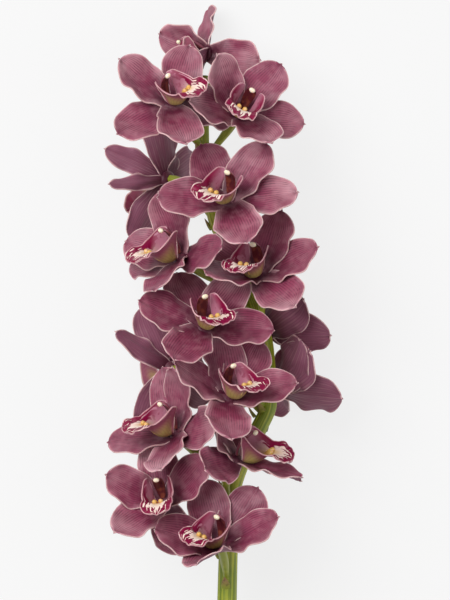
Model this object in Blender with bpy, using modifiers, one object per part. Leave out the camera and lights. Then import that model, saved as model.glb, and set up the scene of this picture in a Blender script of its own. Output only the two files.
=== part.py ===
"""A cut stem of cymbidium orchid with sixteen open blooms, lying down.

The stem lies along Y, its cut end at -Y and its top at +Y, and Z is up from the surface that it rests on. A
bloom is modelled in its own frame, where it faces +Z and its top sepal points to +Y, and is then turned to
where it grows. Lengths here are millimetres and angles are degrees, until a mesh takes its points in metres."""

import math
from dataclasses import dataclass, field

import bmesh
import bpy
import numpy as np
from mathutils import Matrix, Vector

MM = 0.001
# Between a bloom's stalk and its core, which are in separate pieces
GAP = 0.3
# What is lower than this lies flat on the surface
NEAR_SURFACE = 0.5
PATH_STEPS = 160
# From the middle of the flowered part, which the tables measure from, to the middle of the whole stem's box
MIDDLE = Vector((1.35, 106, 0))

# The stem: points on its middle line with the radius there, from the cut end to the top
CUT_END_HEIGHT = 5.0
STEM_ROUTE = (
    (-4, -420, CUT_END_HEIGHT, 7.2),
    (-4, -375, CUT_END_HEIGHT, 7.2),
    (-3, -320, 22, 7.1),
    (-1, -270, 42, 7.0),
    (1, -225, 49, 6.9),
    (2, -185, 51, 6.7),
    (4, -140, 51, 6.3),
    (11, -115, 51, 6.0),
    (23, -92, 51, 5.8),
    (31, -70, 51, 5.6),
    (29, -35, 50, 5.4),
    (20, -3, 50, 5.2),
    (6, 29, 50, 5.0),
    (-8, 60, 50, 4.7),
    (-15, 105, 49, 4.0),
    (-15, 140, 46, 3.5),
    (-14, 158, 44, 2.0),
)
STEM_BEVEL = 2
STEM_STEPS = 1

# A bloom's stalk, which thickens into the ovary, and the dry bract under it
STALK_RADIUS = 2.5
OVARY_RADIUS = 3.1
STALK_BEVEL = 1
STALK_STEPS = 6
STALK_OUTWARD = 0.65
STALK_UPWARD = 0.75
# Shares of a stalk's span: how far it keeps the direction of each end, and where its last straight bit starts
STALK_PULLS = (0.33, 0.38)
STALK_STRAIGHT_FROM = 0.94
BRACT_LENGTH = 8.0
BRACT_RADIUS = 2.6
BRACT_TIP_RADIUS = 0.5
BRACT_SUNK = 1.5
BRACT_BELOW = 3.0
BRACT_SIDES = 5

# A petal or sepal: both have this form
TEPAL_LENGTH = 47.0
TEPAL_HALF_WIDTH = 17.0
TEPAL_THICKNESS = 0.8
TEPAL_ROOT_RADIUS = 2.0
TEPAL_ROOT_HEIGHT = -0.6
CLAW_SHARE = 0.44
WIDEST_AT = 0.56
TIP_AT = 0.985
TEPAL_FACES = (3, 4)
# Over 1, the rows of faces crowd towards the tip, which is round
ROW_CROWDING = 1.3

# The core that the petals grow from
CORE_BACK = -4.0
CORE_FRONT = 1.5
CORE_BACK_RADIUS = 5.0
CORE_FRONT_RADIUS = 7.0
CORE_SIDES = 8

# The lip, from its root, each as (places along it, values there): the slope of its middle line, half its width
# measured round the curve, how far its sides lean forward, how far they turn up, and in what width they do so
LIP_LENGTH = 40.0
LIP_THICKNESS = 0.9
LIP_ROOT = (-2.9, 2.2)
LIP_SLOPE = ((0, 0.12, 0.3, 0.45, 0.55, 0.7, 0.85, 1), (-75, -50, -15, -5, -15, -45, -65, -80))
LIP_HALF_WIDTH = (
    (0, 0.05, 0.12, 0.22, 0.35, 0.46, 0.54, 0.61, 0.74, 0.87, 0.95, 1),
    (3.2, 8, 15, 23, 28.5, 27, 17, 12.3, 12.8, 11.8, 8, 3.5))
LIP_LEAN = ((0, 0.2, 0.5, 0.7, 1), (-35, -22, -12, -40, -80))
LIP_WRAP = ((0, 0.2, 0.4, 0.52, 0.6, 0.75, 0.9, 1), (60, 92, 95, 85, 55, 28, 10, 0))
LIP_BEND_WIDTH = ((0, 0.15, 0.4, 0.6, 1), (6, 10, 17, 20, 20))
LIP_ARC_STEPS = 16
LIP_FACES = (6, 5)

# The column, which arches over the lip, and the cap at its end
COLUMN_LENGTH = 24.0
COLUMN_ROOT = (1.6, 1.8)
COLUMN_SLOPE = (40.0, -12.0)
COLUMN_HALF_WIDTH = ((0, 0.15, 0.6, 0.85, 0.96, 1), (2.6, 3.2, 4.3, 4.4, 3.3, 0.0))
COLUMN_HALF_HEIGHT = ((0, 0.15, 0.6, 0.85, 0.96, 1), (2.2, 2.0, 2.0, 2.2, 1.8, 0.0))
COLUMN_FLATNESS = 0.35
COLUMN_SIDES = 5
CAP_RADII = (2.4, 1.7, 1.9)
CAP_DROP = 1.2
CAP_REACH = 0.2

# Where a surface turns by more than this it keeps an edge, and less is shaded smooth
SHARP_ANGLE = 50

MAUVE = (0.27, 0.07, 0.11)
CRIMSON = (0.36, 0.05, 0.10)
MAROON = (0.10, 0.01, 0.02)
GREEN = (0.26, 0.31, 0.06)


@dataclass
class Pose:
    """How one petal or sepal is held: turned round the bloom, raised at its root, curled forward along its
    length, cupped across it, twisted and bent sideways."""

    swing: float = 0
    lift: float = 8
    curl: float = 10
    cup: float = 26
    twist: float = 0
    bend: float = 0
    width: float = 1.0


SIDES = {"dorsal": 90, "petal_l": 158, "petal_r": 22, "sepal_l": 230, "sepal_r": -50}
USUAL = {
    "dorsal": {"lift": 12, "curl": 18, "width": 0.95},
    "petal_l": {"curl": 22, "cup": 22, "width": 0.92},
    "petal_r": {"curl": 22, "cup": 22, "width": 0.92},
    "sepal_l": {"curl": 8},
    "sepal_r": {"curl": 8},
}


@dataclass
class Bloom:
    """Where a bloom grows: the middle of its petals, the way that it faces (turn round Z from +X, tilt down
    from +Z), where its top sepal points seen from above, and how far along Y its stalk leaves the stem."""

    at: tuple
    turn: float
    tilt: float
    top: float
    node: float
    size: float = 1.0
    poses: dict = field(default_factory=dict)


def held(swing=0, lift=8, **more):
    return {"swing": swing, "lift": lift, **more}


BLOOMS = (
    Bloom((-13, 174, 34), 172, 82, 82, 141, 0.85, {
        "dorsal": held(40, -8, twist=20), "petal_l": held(0, 45), "petal_r": held(-22, -66, curl=15),
        "sepal_l": held(-25, 38, width=0.5), "sepal_r": held(15, 14)}),
    Bloom((-38, 138, 84), 80, 42, 147, 105, 0.96, {
        "dorsal": held(5, 12, width=1.0), "petal_l": held(8, -15, width=0.97), "sepal_r": held(0, -20)}),
    Bloom((10, 131, 72), 60, 35, 60, 98, 0.95, {
        "dorsal": held(-11, 15), "petal_l": held(0, 30), "petal_r": held(0, -5, width=0.97),
        "sepal_l": held(-12, 22), "sepal_r": held(10, 30)}),
    Bloom((2, 70, 91), 105, 38, 52, 48, 1.0, {
        "dorsal": held(-3, 6), "petal_l": held(-12, 0), "petal_r": held(15, -12, width=0.97),
        "sepal_l": held(-15, 12), "sepal_r": held(12, 8)}),
    Bloom((-32, 30, 74), 140, 60, 55, -4, 1.0, {
        "dorsal": held(25, 36, curl=32, twist=20), "petal_l": held(32, 12), "petal_r": held(-5, -5),
        "sepal_l": held(-30, 0), "sepal_r": held(0, 20)}),
    Bloom((23, 18, 80), 110, 45, 62, -21, 1.0, {
        "dorsal": held(-5, 15), "petal_l": held(5, 5), "petal_r": held(5, 8, width=1.0),
        "sepal_l": held(10, 40), "sepal_r": held(18, 2)}),
    Bloom((-15, -18, 92), 78, 42, 118, -50, 1.0, {
        "dorsal": held(0, -5), "petal_l": held(-10, 5, width=1.0), "petal_r": held(12, 8),
        "sepal_l": held(-10, 10), "sepal_r": held(20, 8)}),
    Bloom((3, -67, 96), 70, 48, 130, -76, 1.0, {
        "dorsal": held(-22, 17, curl=28, bend=5), "petal_l": held(-18, 14), "petal_r": held(10, 15),
        "sepal_l": held(-5, 5, bend=10), "sepal_r": held(15, 28)}),
    Bloom((29, -20, 38.5), 25, 113, 110, -60, 1.0, {
        "dorsal": held(0, 20), "petal_l": held(0, 10, width=1.05),
        "sepal_l": held(-25, 30, curl=20), "sepal_r": held(0, 30)}),
    Bloom((37, -61, 37), 25, 112, 100, -90, 1.0, {
        "dorsal": held(40, 10, bend=-15), "petal_l": held(-30, 10, width=1.05), "petal_r": held(-5, 8, curl=12),
        "sepal_l": held(-42, 30, curl=20), "sepal_r": held(5, 25, curl=-45, twist=-15)}),
    Bloom((-38, -49, 44), 181, 149, 105, -80, 1.0, {
        "dorsal": held(0, 10), "petal_l": held(5, 20), "petal_r": held(28, 0, width=0.5, twist=30),
        "sepal_l": held(-11, 14), "sepal_r": held(-8, 15)}),
    Bloom((-35, -93, 68), 133, 60, 48, -132, 1.0, {
        "dorsal": held(10, 20, curl=60), "petal_l": held(-25, 25), "petal_r": held(0, 0, twist=40),
        "sepal_l": held(0, 20), "sepal_r": held(10, 10)}),
    Bloom((-43, -141, 78), 115, 30, 93, -179, 0.93, {
        "dorsal": held(5, 0), "petal_l": held(0, 25), "petal_r": held(5, 15, curl=32),
        "sepal_l": held(-10, 20), "sepal_r": held(-30, -64)}),
    Bloom((-4, -171, 84), 110, 42, 48, -200, 1.0, {
        "dorsal": held(0, 5, twist=20), "petal_l": held(-18, 15), "petal_r": held(22, 10),
        "sepal_l": held(-8, 35, width=1.1), "sepal_r": held(-15, 35, twist=30)}),
    Bloom((9, -111, 72), 40, 62, 135, -154, 1.0, {
        "dorsal": held(5, 0, curl=55), "petal_l": held(0, -8), "petal_r": held(25, -7, curl=52, twist=20),
        "sepal_l": held(30, 36, width=0.7), "sepal_r": held(-20, 15, width=0.6, twist=-60)}),
    Bloom((-41, 85, 38), 180, 138, 85, 52, 1.0, {
        "petal_l": held(0, 10), "petal_r": held(3, 25, width=0.55),
        "sepal_l": held(55, 20, width=0.8), "sepal_r": held(38, 5, width=0.35, twist=50)}),
)


def smooth(at, stations, values):
    """A smooth curve through a few stations, which never swings past them."""
    stations, values = np.array(stations, float), np.array(values, float)
    steps = np.diff(stations)
    slopes = np.diff(values) / steps
    turns = np.zeros_like(values)
    both = slopes[:-1] * slopes[1:]
    turns[1:-1] = np.where(both > 0, 2 * both / (slopes[:-1] + slopes[1:] + 1e-12), 0)
    turns[0], turns[-1] = slopes[0], slopes[-1]
    i = np.clip(np.searchsorted(stations, at, side="right") - 1, 0, len(steps) - 1)
    t = (at - stations[i]) / steps[i]
    start = (2 * t**3 - 3 * t**2 + 1) * values[i] + (t**3 - 2 * t**2 + t) * steps[i] * turns[i]
    end = (3 * t**2 - 2 * t**3) * values[i + 1] + (t**3 - t**2) * steps[i] * turns[i + 1]
    return start + end


def along_path(heading, length, at):
    """How far out, how high and at what angle a path is at the places `at`, 0 to 1 along it, where it climbs
    at `heading` degrees."""
    every = np.linspace(0, 1, PATH_STEPS + 1)
    angle = np.radians(heading(every))
    halves = [(np.cos(angle[1:]) + np.cos(angle[:-1])) / 2, (np.sin(angle[1:]) + np.sin(angle[:-1])) / 2]
    reach, rise = (np.concatenate([[0], np.cumsum(half)]) * length / PATH_STEPS for half in halves)
    return np.interp(at, every, reach), np.interp(at, every, rise), np.interp(at, every, angle)


def tepal_outline(u):
    """Share of the full width at u from root to tip: a narrow claw, widest past the middle, a round tip."""
    grow = CLAW_SHARE + (1 - CLAW_SHARE) * np.sin(np.pi / 2 * np.clip(u / WIDEST_AT, 0, 1))
    past = np.clip((u - WIDEST_AT) / (1 - WIDEST_AT), 0, 1)
    return grow * np.sqrt(1 - past**2.3)


def tepal_points(u, v, side, pose, size):
    """Points of a petal's middle sheet, at u along it and v across it."""
    length = TEPAL_LENGTH * size
    reach, rise, slope = along_path(lambda t: pose.lift + pose.curl * t, length, u)
    aside = np.radians(pose.bend) * u
    half = TEPAL_HALF_WIDTH * size * pose.width * tepal_outline(u)
    cup = np.radians(pose.cup) * np.sin(np.pi * u**0.8) ** 0.5 + 1e-6
    across = half * np.sin(cup * v) / cup
    up = half * (1 - np.cos(cup * v)) / cup
    twist = np.radians(pose.twist) * u
    across, up = across * np.cos(twist) - up * np.sin(twist), across * np.sin(twist) + up * np.cos(twist)
    out = TEPAL_ROOT_RADIUS + reach * np.cos(aside) - up * np.sin(slope) - across * np.sin(aside)
    along = across * np.cos(aside) + reach * np.sin(aside)
    height = TEPAL_ROOT_HEIGHT + rise + up * np.cos(slope)
    turn = np.radians(side + pose.swing)
    x = out * np.cos(turn) - along * np.sin(turn)
    y = out * np.sin(turn) + along * np.cos(turn)
    return np.stack([x, y, height], axis=-1)


def lip_points(s, t, size):
    """Points of the lip: a trough with two raised side lobes, a waist, and a midlobe that turns down."""
    reach, rise, _ = along_path(lambda at: smooth(at, *LIP_SLOPE), LIP_LENGTH, s)
    half = smooth(s, *LIP_HALF_WIDTH)
    lean = np.radians(smooth(s, *LIP_LEAN))
    wrap = np.radians(smooth(s, *LIP_WRAP))
    bend_width = smooth(s, *LIP_BEND_WIDTH)
    across, up = np.zeros_like(s), np.zeros_like(s)
    for k in range(LIP_ARC_STEPS):
        arc = (k + 0.5) / LIP_ARC_STEPS * np.abs(t) * half
        angle = wrap * np.clip(arc / bend_width, 0, 1) ** 0.8
        across += np.cos(angle) * np.abs(t) * half / LIP_ARC_STEPS
        up += np.sin(angle) * np.abs(t) * half / LIP_ARC_STEPS
    y = LIP_ROOT[0] + rise + up * np.cos(lean)
    z = LIP_ROOT[1] + reach - up * np.sin(lean)
    return np.stack([np.sign(t) * across, y, z], axis=-1) * size


def column_arch(at):
    """Reach, rise and slope of the column's middle line, which rises at first and bends down at its end."""
    return along_path(lambda t: np.interp(t, (0, 1), COLUMN_SLOPE), COLUMN_LENGTH, at)


def column_points(s, angle, size):
    """Points of the column: a rod that arches forward over the lip, round on top and flat underneath."""
    reach, rise, slope = column_arch(s)
    wide = smooth(s, *COLUMN_HALF_WIDTH)
    up = smooth(s, *COLUMN_HALF_HEIGHT) * np.sin(angle)
    up = np.where(up < 0, up * COLUMN_FLATNESS, up)
    y = COLUMN_ROOT[0] + rise + up * np.cos(slope)
    z = COLUMN_ROOT[1] + reach - up * np.sin(slope)
    return np.stack([wide * np.cos(angle), y, z], axis=-1) * size


def material(name, colour, roughness):
    made = bpy.data.materials.new(name)
    made.use_nodes = True
    shader = made.node_tree.nodes["Principled BSDF"]
    shader.inputs["Base Color"].default_value = (*colour, 1)
    shader.inputs["Roughness"].default_value = roughness
    return made


def new_collection(name):
    made = bpy.data.collections.new(name)
    bpy.context.scene.collection.children.link(made)
    return made


def move_to(obj, collection):
    for other in list(obj.users_collection):
        other.objects.unlink(obj)
    collection.objects.link(obj)


def take_shape(obj, points):
    """Puts the object's mesh points where an array in millimetres says."""
    obj.data.vertices.foreach_set("co", (points * MM).astype(np.float32).ravel())
    obj.data.update()


def points_of(obj):
    points = np.empty(len(obj.data.vertices) * 3, np.float32)
    obj.data.vertices.foreach_get("co", points)
    return points.reshape(-1, 3).astype(float)


def sheet(name, faces, place, thickness):
    """A grid in triangles, thickened, whose points `place` gives from along, 0 to 1, and across, -1 to 1."""
    bpy.ops.mesh.primitive_grid_add(x_subdivisions=faces[0], y_subdivisions=faces[1], size=2)
    obj = bpy.context.object
    obj.name = name
    flat = points_of(obj)
    take_shape(obj, place((flat[:, 1] + 1) / 2, flat[:, 0]))
    split = obj.modifiers.new("Triangles", "TRIANGULATE")
    split.quad_method = "FIXED"
    solid = obj.modifiers.new("Thickness", "SOLIDIFY")
    solid.thickness = thickness * MM
    solid.offset = 0
    return obj


def frame_of(bloom):
    """The bloom's own frame in the stem's: X to its right, Y to its top sepal and Z the way it faces."""
    turn, tilt, top = (math.radians(angle) for angle in (bloom.turn, bloom.tilt, bloom.top))
    facing = Vector((math.sin(tilt) * math.cos(turn), math.sin(tilt) * math.sin(turn), math.cos(tilt)))
    level = Vector((math.cos(top), math.sin(top), 0))
    upward = (level - Vector((0, 0, level.dot(facing) / facing.z))).normalized()
    rightward = upward.cross(facing)
    turned = Matrix((rightward, upward, facing)).transposed().to_4x4()
    return Matrix.Translation((Vector(bloom.at) + MIDDLE) * MM) @ turned


def above_surface(points, frame, clear):
    """The same points, with those that would be under the surface bent up to lie on it."""
    turned = np.array(frame.to_3x3())
    moved = np.array(frame.translation) / MM
    world = points @ turned.T + moved
    world[..., 2] = np.maximum(world[..., 2], clear)
    return (world - moved) @ turned


def union(obj, others):
    """Joins the objects of a collection to this one, and removes them."""
    join = obj.modifiers.new("Union", "BOOLEAN")
    join.operation = "UNION"
    join.operand_type = "COLLECTION"
    join.collection = others
    bpy.context.view_layer.objects.active = obj
    bpy.ops.object.modifier_apply(modifier=join.name)
    for other in list(others.objects):
        bpy.data.objects.remove(other)
    bpy.data.collections.remove(others)


def shade(obj, finish):
    """Gives the object its material and shades its round parts smooth."""
    obj.data.materials.clear()
    obj.data.materials.append(finish)
    obj.data.shade_smooth()
    obj.data.set_sharp_from_angle(angle=math.radians(SHARP_ANGLE))


def hung_on(obj, holder, collection, finish):
    obj.parent = holder
    shade(obj, finish)
    move_to(obj, collection)


def petals_of(bloom, name, holder, collection, finish):
    """The core of the bloom with its three sepals and two petals, as one body."""
    bpy.ops.mesh.primitive_cone_add(
        vertices=CORE_SIDES, radius1=CORE_BACK_RADIUS * MM, radius2=CORE_FRONT_RADIUS * MM,
        depth=(CORE_FRONT - CORE_BACK) * MM, location=(0, 0, (CORE_FRONT + CORE_BACK) / 2 * MM))
    core = bpy.context.object
    core.name = name
    core.data.transform(core.matrix_basis)
    core.matrix_basis = Matrix()
    hung_on(core, holder, collection, finish)
    leaves = new_collection(name + "_petals")
    for side, angle in SIDES.items():
        pose = Pose(**{**USUAL[side], **bloom.poses.get(side, {})})

        def place(along, across):
            u = TIP_AT * (1 - (1 - along) ** ROW_CROWDING)
            points = tepal_points(u, across, angle, pose, bloom.size)
            return above_surface(points, holder.matrix_world, TEPAL_THICKNESS / 2)

        hung_on(sheet(side, TEPAL_FACES, place, TEPAL_THICKNESS), holder, leaves, finish)
    bpy.context.view_layer.update()
    union(core, leaves)
    press_flat(core)
    shade(core, finish)


def lip_of(bloom, name, holder, collection, finish):
    """The lip, in front of the core."""
    def place(along, across):
        return lip_points(along, across, bloom.size)

    hung_on(sheet(name, LIP_FACES, place, LIP_THICKNESS), holder, collection, finish)


def column_of(bloom, name, holder, collection, finish):
    """The column with its cap: a sphere's rings laid along the arch, and a small sphere at its end."""
    bpy.ops.mesh.primitive_uv_sphere_add(segments=COLUMN_SIDES, ring_count=6, radius=1)
    rod = bpy.context.object
    rod.name = name
    ball = points_of(rod)
    along = 1 - np.arccos(np.clip(ball[:, 2], -1, 1)) / np.pi
    take_shape(rod, column_points(along, np.arctan2(ball[:, 1], ball[:, 0]), bloom.size))
    hung_on(rod, holder, collection, finish)
    bpy.ops.mesh.primitive_uv_sphere_add(segments=COLUMN_SIDES, ring_count=4, radius=1)
    cap = bpy.context.object
    reach, rise, _ = column_arch(1.0)
    middle = np.array([0, COLUMN_ROOT[0] + rise - CAP_DROP, COLUMN_ROOT[1] + reach + CAP_REACH])
    take_shape(cap, (points_of(cap) * CAP_RADII + middle) * bloom.size)
    caps = new_collection(name + "_cap")
    hung_on(cap, holder, caps, finish)
    bpy.context.view_layer.update()
    union(rod, caps)


def tube(name, points, radii, bevel):
    """A closed mesh tube along points in millimetres, with a radius at each."""
    curve = bpy.data.curves.new(name, "CURVE")
    curve.dimensions = "3D"
    curve.bevel_depth = MM
    curve.bevel_resolution = bevel
    curve.use_fill_caps = True
    curve.twist_mode = "Z_UP"
    line = curve.splines.new("POLY")
    line.points.add(len(points) - 1)
    for point, where, radius in zip(line.points, points, radii):
        point.co = (*(Vector(where) * MM), 1)
        point.radius = radius
    guide = bpy.data.objects.new(name + "_line", curve)
    bpy.context.scene.collection.objects.link(guide)
    bpy.context.view_layer.update()
    graph = bpy.context.evaluated_depsgraph_get()
    mesh = bpy.data.meshes.new_from_object(guide.evaluated_get(graph))
    bpy.data.objects.remove(guide)
    made = bpy.data.objects.new(name, mesh)
    bpy.context.scene.collection.objects.link(made)
    weld_caps(mesh)
    return made


def weld_caps(mesh):
    """Closes the ends of a tube, whose caps are loose, and turns all its faces out."""
    shell = bmesh.new()
    shell.from_mesh(mesh)
    bmesh.ops.remove_doubles(shell, verts=shell.verts, dist=0.01 * MM)
    bmesh.ops.recalc_face_normals(shell, faces=shell.faces)
    shell.to_mesh(mesh)
    shell.free()


def route_at(y):
    """The stem's middle and its radius where it passes y."""
    table = np.array(STEM_ROUTE, float)
    x, z, radius = (np.interp(y, table[:, 1], table[:, k]) for k in (0, 2, 3))
    return Vector((x, y, z)), float(radius)


def stem_line():
    """Points and radii along the stem, with smooth steps between the points of its route."""
    table = np.array(STEM_ROUTE, float)
    knots = np.arange(len(table))
    at = np.linspace(0, len(table) - 1, (len(table) - 1) * STEM_STEPS + 1)
    line = np.stack([smooth(at, knots, table[:, k]) for k in range(4)], axis=1)
    return line[:, :3] + np.array(MIDDLE), line[:, 3]


def stalk_line(bloom):
    """Points from the stem's middle to the back of a bloom's core, and the way that the stalk sets out."""
    frame = frame_of(bloom)
    facing = frame.to_3x3().col[2]
    end = frame.translation / MM + facing * (CORE_BACK - GAP)
    start = route_at(bloom.node)[0] + MIDDLE
    span = (end - start).length
    outward = Vector((end.x - start.x, 0, end.z - start.z)).normalized()
    lead = outward * STALK_OUTWARD + Vector((0, STALK_UPWARD, 0))
    pulls = (start, start + lead * span * STALK_PULLS[0], end - facing * span * STALK_PULLS[1], end)
    line = []
    for t in np.linspace(0, STALK_STRAIGHT_FROM, STALK_STEPS):
        weights = ((1 - t) ** 3, 3 * (1 - t) ** 2 * t, 3 * (1 - t) * t**2, t**3)
        line.append(sum((pull * weight for pull, weight in zip(pulls, weights)), Vector()))
    return [*line, end - facing, end], lead.normalized()


def bract(name, start, lead, radius):
    """The dry bract on the stem under a stalk: a thin cone that points the way the stalk sets out."""
    outward = Vector((lead.x, 0, lead.z)).normalized()
    root = start + outward * (radius - BRACT_SUNK) - Vector((0, BRACT_BELOW, 0))
    middle = root + lead * (BRACT_LENGTH / 2 - BRACT_SUNK / 2)
    bpy.ops.mesh.primitive_cone_add(
        vertices=BRACT_SIDES, radius1=BRACT_RADIUS * MM, radius2=BRACT_TIP_RADIUS * MM,
        depth=BRACT_LENGTH * MM, location=middle * MM, rotation=lead.to_track_quat("Z", "Y").to_euler())
    bpy.context.object.name = name
    return bpy.context.object


def press_flat(obj):
    """Lays what is under the surface, or nearly touches it, flat on it."""
    turned = np.array(obj.matrix_world.to_3x3())
    moved = np.array(obj.matrix_world.translation)
    world = points_of(obj) @ turned.T + moved
    world[world[:, 2] < NEAR_SURFACE * MM, 2] = 0
    take_shape(obj, (world - moved) @ turned / MM)


def stem_of(collection, finish):
    """The stem with its stalks, ovaries and bracts, as one body."""
    line, radii = stem_line()
    stem = tube("stem", line, radii, STEM_BEVEL)
    press_flat(stem)
    move_to(stem, collection)
    growths = new_collection("growths")
    for number, bloom in enumerate(BLOOMS, 1):
        stalk, lead = stalk_line(bloom)
        thick = np.linspace(STALK_RADIUS, OVARY_RADIUS, len(stalk))
        move_to(tube(f"stalk_{number:02d}", stalk, thick, STALK_BEVEL), growths)
        move_to(bract(f"bract_{number:02d}", stalk[0], lead, route_at(bloom.node)[1]), growths)
    bpy.context.view_layer.update()
    union(stem, growths)
    shade(stem, finish)


def main():
    for obj in list(bpy.data.objects):
        bpy.data.objects.remove(obj)
    plant = new_collection("cymbidium_stem")
    mauve = material("petal_mauve", MAUVE, 0.5)
    crimson = material("lip_crimson", CRIMSON, 0.45)
    maroon = material("column_maroon", MAROON, 0.4)
    green = material("stem_green", GREEN, 0.5)
    for number, bloom in enumerate(BLOOMS, 1):
        name = f"bloom_{number:02d}"
        holder = bpy.data.objects.new(name + "_frame", None)
        plant.objects.link(holder)
        holder.matrix_world = frame_of(bloom)
        bpy.context.view_layer.update()
        petals_of(bloom, name, holder, plant, mauve)
        lip_of(bloom, name + "_lip", holder, plant, crimson)
        column_of(bloom, name + "_column", holder, plant, maroon)
    stem_of(plant, green)


main()
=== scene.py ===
"""Dresses the solids of a cut cymbidium stem: petals with veins and pale edges, ruffled lips, columns with
their caps, and a green stem with its stalks and bracts. It is laid out as an add-on and run as a script.

The stem lies along Y on the floor, with its cut end at -Y, and Z is up. A bloom is modelled in its own
frame, where it faces +Z and its top sepal points to +Y. Lengths in the tables are millimetres and angles are
degrees."""

import math
from dataclasses import dataclass, field
from functools import partial

import bpy
import numpy as np
from bpy.props import FloatProperty, FloatVectorProperty, IntProperty, PointerProperty
from mathutils import Matrix, Vector


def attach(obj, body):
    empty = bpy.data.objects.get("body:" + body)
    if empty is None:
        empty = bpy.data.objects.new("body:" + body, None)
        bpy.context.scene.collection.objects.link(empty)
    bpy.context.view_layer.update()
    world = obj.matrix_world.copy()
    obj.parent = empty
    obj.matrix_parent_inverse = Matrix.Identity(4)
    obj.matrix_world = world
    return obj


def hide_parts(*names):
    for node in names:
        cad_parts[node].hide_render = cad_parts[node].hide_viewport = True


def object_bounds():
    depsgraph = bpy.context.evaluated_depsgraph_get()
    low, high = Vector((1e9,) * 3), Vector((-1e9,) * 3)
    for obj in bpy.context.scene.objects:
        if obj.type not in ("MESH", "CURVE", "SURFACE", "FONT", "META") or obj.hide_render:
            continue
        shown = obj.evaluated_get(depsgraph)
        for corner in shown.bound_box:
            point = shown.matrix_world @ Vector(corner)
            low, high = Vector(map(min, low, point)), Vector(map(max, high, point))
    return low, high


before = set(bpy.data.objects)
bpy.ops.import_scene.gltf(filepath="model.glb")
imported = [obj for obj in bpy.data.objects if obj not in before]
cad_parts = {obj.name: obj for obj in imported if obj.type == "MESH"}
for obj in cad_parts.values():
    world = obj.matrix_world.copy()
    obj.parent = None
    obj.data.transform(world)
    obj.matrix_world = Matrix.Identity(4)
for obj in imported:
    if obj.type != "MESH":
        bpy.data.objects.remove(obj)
CAD_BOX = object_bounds()

bl_info = {
    "name": "Cymbidium stem",
    "version": (1, 0, 0),
    "blender": (4, 5, 0),
    "location": "View3D > Sidebar > Orchid",
    "description": "Builds the petals, lips, columns and stem of a cut cymbidium, and a pale stage for it",
    "category": "Object",
}

MM = 0.001
# From the middle of the flowered part, which the tables measure from, to the middle of the whole stem's box
MIDDLE = Vector((1.35, 106, 0))

# The stem: points on its middle line with the radius there, from the cut end to the top
STEM_ROUTE = np.array((
    (-4, -420, 5, 7.2),
    (-4, -375, 5, 7.2),
    (-3, -320, 22, 7.1),
    (-1, -270, 42, 7.0),
    (1, -225, 49, 6.9),
    (2, -185, 51, 6.7),
    (4, -140, 51, 6.3),
    (11, -115, 51, 6.0),
    (23, -92, 51, 5.8),
    (31, -70, 51, 5.6),
    (29, -35, 50, 5.4),
    (20, -3, 50, 5.2),
    (6, 29, 50, 5.0),
    (-8, 60, 50, 4.7),
    (-15, 105, 49, 4.0),
    (-15, 140, 46, 3.5),
    (-14, 158, 44, 2.0),
), float)
STEM_RINGS = 260
STEM_SIDES = 32
STEM_RIBS = 7
STEM_RIB_DEPTH = 0.16
STEM_RIB_TURN = 3
# Where old leaf sheaths have left a ring, as Y in the tables
SHEATH_RINGS = (-352, -262)
SHEATH_RING_HEIGHT = 0.45
SHEATH_RING_HALF_WIDTH = 1.6

# A bloom's stalk, which thickens into the ovary, and the dry bract under it
STALK_RADIUS = 2.3
OVARY_RADIUS = 3.1
STALK_RINGS = 40
STALK_SIDES = 18
STALK_RIBS = 6
STALK_RIB_DEPTH = 0.22
STALK_OUTWARD = 0.65
STALK_UPWARD = 0.75
STALK_PULLS = (0.33, 0.38)
STALK_STRAIGHT_FROM = 0.94
BRACT_LENGTH = 9.0
BRACT_HALF_WIDTH = 3.4
BRACT_THICKNESS = 0.4
BRACT_WRAP = 75

# A petal or sepal: where it leaves the core, the share of its width at its root, and where it is widest
TEPAL_ROOT_RADIUS = 2.0
TEPAL_ROOT_HEIGHT = -0.6
CLAW_SHARE = 0.44
WIDEST_AT = 0.56
TIP_AT = 0.985
# Over 1, the rows of faces crowd towards the tip, which is round
ROW_CROWDING = 1.3
PATH_STEPS = 160
# What makes each petal a little different: how its waves shift from bloom to bloom and from side to side, the
# waves along its edge and how high the finer ones are as a share of the others, how far it swells and folds,
# and how uneven its width is
PHASE_STEPS = (0.37, 0.61)
EDGE_WAVES = 2.3
FINE_WAVES = 4.3
FINE_SHARE = 0.2
SWELL = 0.45
FOLD = 1.1
UNEVENNESS = 0.045
GROOVE_HALF_WIDTH = 1.3
# The little point at its tip: a stretch of the last part of its length, and the half width of that
POINT_FROM = 0.97
POINT_STRETCH = 1.1
POINT_HALF_WIDTH = 0.2
# Veins: how far they drift, as a share of the width, and how far their dark and their edge reach
VEIN_DRIFT = 0.04
VEIN_HALF_WIDTHS = (0.04, 0.28)
# The distance from the edge that the attribute `form` writes as 1
MARGIN_FULL = 10

# The core that the petals grow from
CORE_BACK = -4.0
CORE_FRONT = 1.5
CORE_RADIUS = 6.2
STALK_GAP = 0.3

# The lip, from its root, each as (places along it, values there): the slope of its middle line, half its
# width measured round the curve, how far its sides lean forward, how far they turn up, and in what width
LIP_LENGTH = 40.0
LIP_ROOT = (-2.9, 2.2)
LIP_SLOPE = ((0, 0.12, 0.3, 0.45, 0.55, 0.7, 0.85, 1), (-75, -50, -15, -5, -15, -45, -65, -80))
LIP_HALF_WIDTH = (
    (0, 0.05, 0.12, 0.22, 0.35, 0.46, 0.54, 0.61, 0.74, 0.87, 0.95, 1),
    (3.2, 8, 15, 23, 28.5, 27, 17, 12.3, 12.8, 11.8, 8, 3.5))
LIP_LEAN = ((0, 0.2, 0.5, 0.7, 1), (-35, -22, -12, -40, -80))
LIP_WRAP = ((0, 0.2, 0.4, 0.52, 0.6, 0.75, 0.9, 1), (60, 92, 95, 85, 55, 28, 10, 0))
LIP_BEND_WIDTH = ((0, 0.15, 0.4, 0.6, 1), (6, 10, 17, 20, 20))
LIP_ARC_STEPS = 16
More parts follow.
